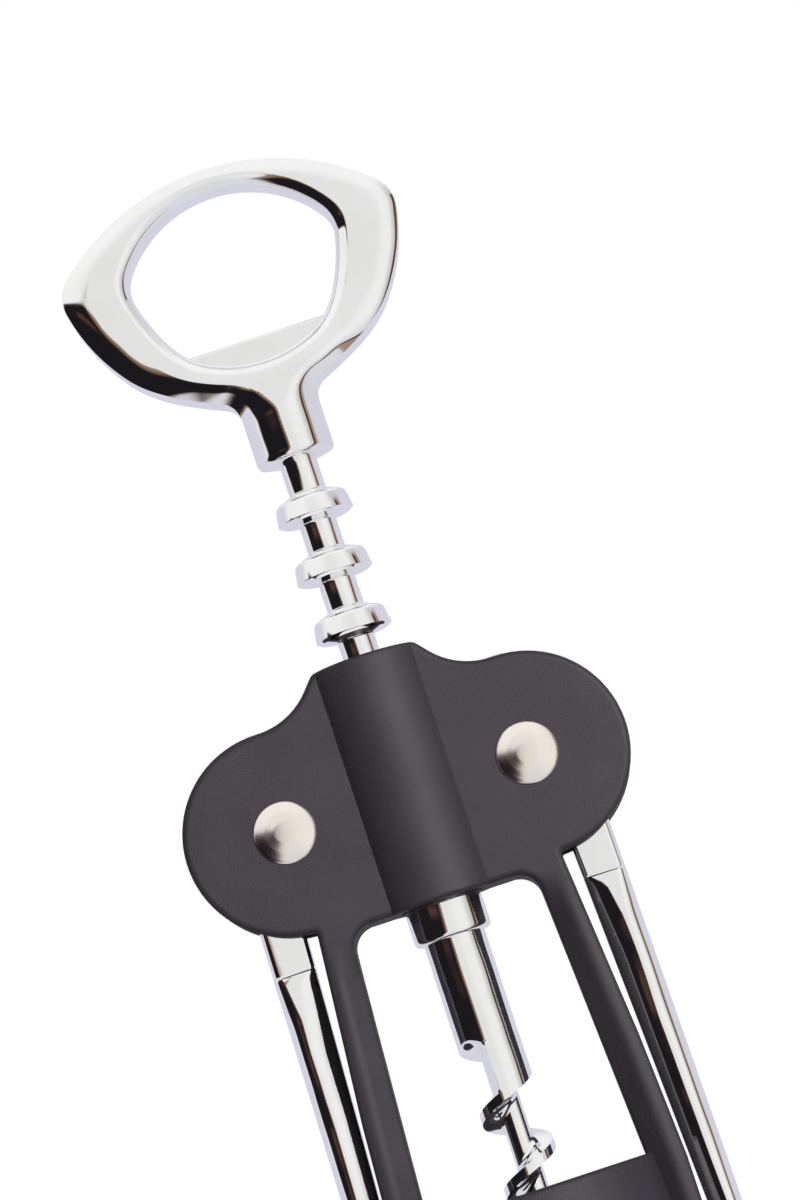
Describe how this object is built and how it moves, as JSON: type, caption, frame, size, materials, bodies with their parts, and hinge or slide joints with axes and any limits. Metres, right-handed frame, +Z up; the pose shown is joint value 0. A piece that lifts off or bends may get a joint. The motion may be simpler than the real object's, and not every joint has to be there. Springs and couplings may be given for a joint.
{
  "type": "wing corkscrew",
  "caption": "Wing corkscrew: geared levers lift a ringed rack and its worm through a frame whose bell seats on a bottle neck, with a cap-lifter ring as the handle.",
  "frame": {"origin": "centre of the bell's rim, on the plane that the corkscrew stands on", "axes": "+Z up along the worm towards the handle, X across the two levers, the front faces -Y"},
  "size_m": [0.0642, 0.0364, 0.1793],
  "materials": {
    "soft_touch_black": "matte",
    "guide_plastic": "satin",
    "chrome": "polished",
    "nickel": "satin",
    "pin_steel": "satin"
  },
  "bodies": {
    "frame": {"frame": "soft_touch_black", "neck_guide": "guide_plastic", "rivet_post_left": "nickel", "rivet_post_right": "nickel", "rivet_cap_left": "nickel", "rivet_cap_right": "nickel"},
    "left_lever": {"lever_left": "chrome"},
    "right_lever": {"lever_right": "chrome"},
    "rack": {"rack_sleeve": "chrome"},
    "screw": {"handle": "chrome", "handle_pin": "pin_steel", "worm": "chrome"}
  },
  "joints": [
    {"name": "left_lever_swing", "type": "hinge", "parent": "frame", "child": "left_lever", "pos_m": [-0.0177, 0, 0.0855], "axis": [0, 1, 0], "range_deg": [0, 120]},
    {"name": "right_lever_swing", "type": "hinge", "parent": "frame", "child": "right_lever", "pos_m": [0.0177, 0, 0.0855], "axis": [0, -1, 0], "range_deg": [0, 120]},
    {"name": "rack_slide", "type": "slide", "parent": "frame", "child": "rack", "axis": [0, 0, -1], "range_m": [0, 0.029]},
    {"name": "screw_spin", "type": "hinge", "parent": "rack", "child": "screw", "pos_m": [0, 0, 0.1], "axis": [0, 0, 1], "continuous": true}
  ],
  "couplings": [
    {"joint": "right_lever_swing", "follows": "left_lever_swing", "ratio": 1},
    {"joint": "rack_slide", "follows": "left_lever_swing", "m_per_rad": 0.013846}
  ]
}
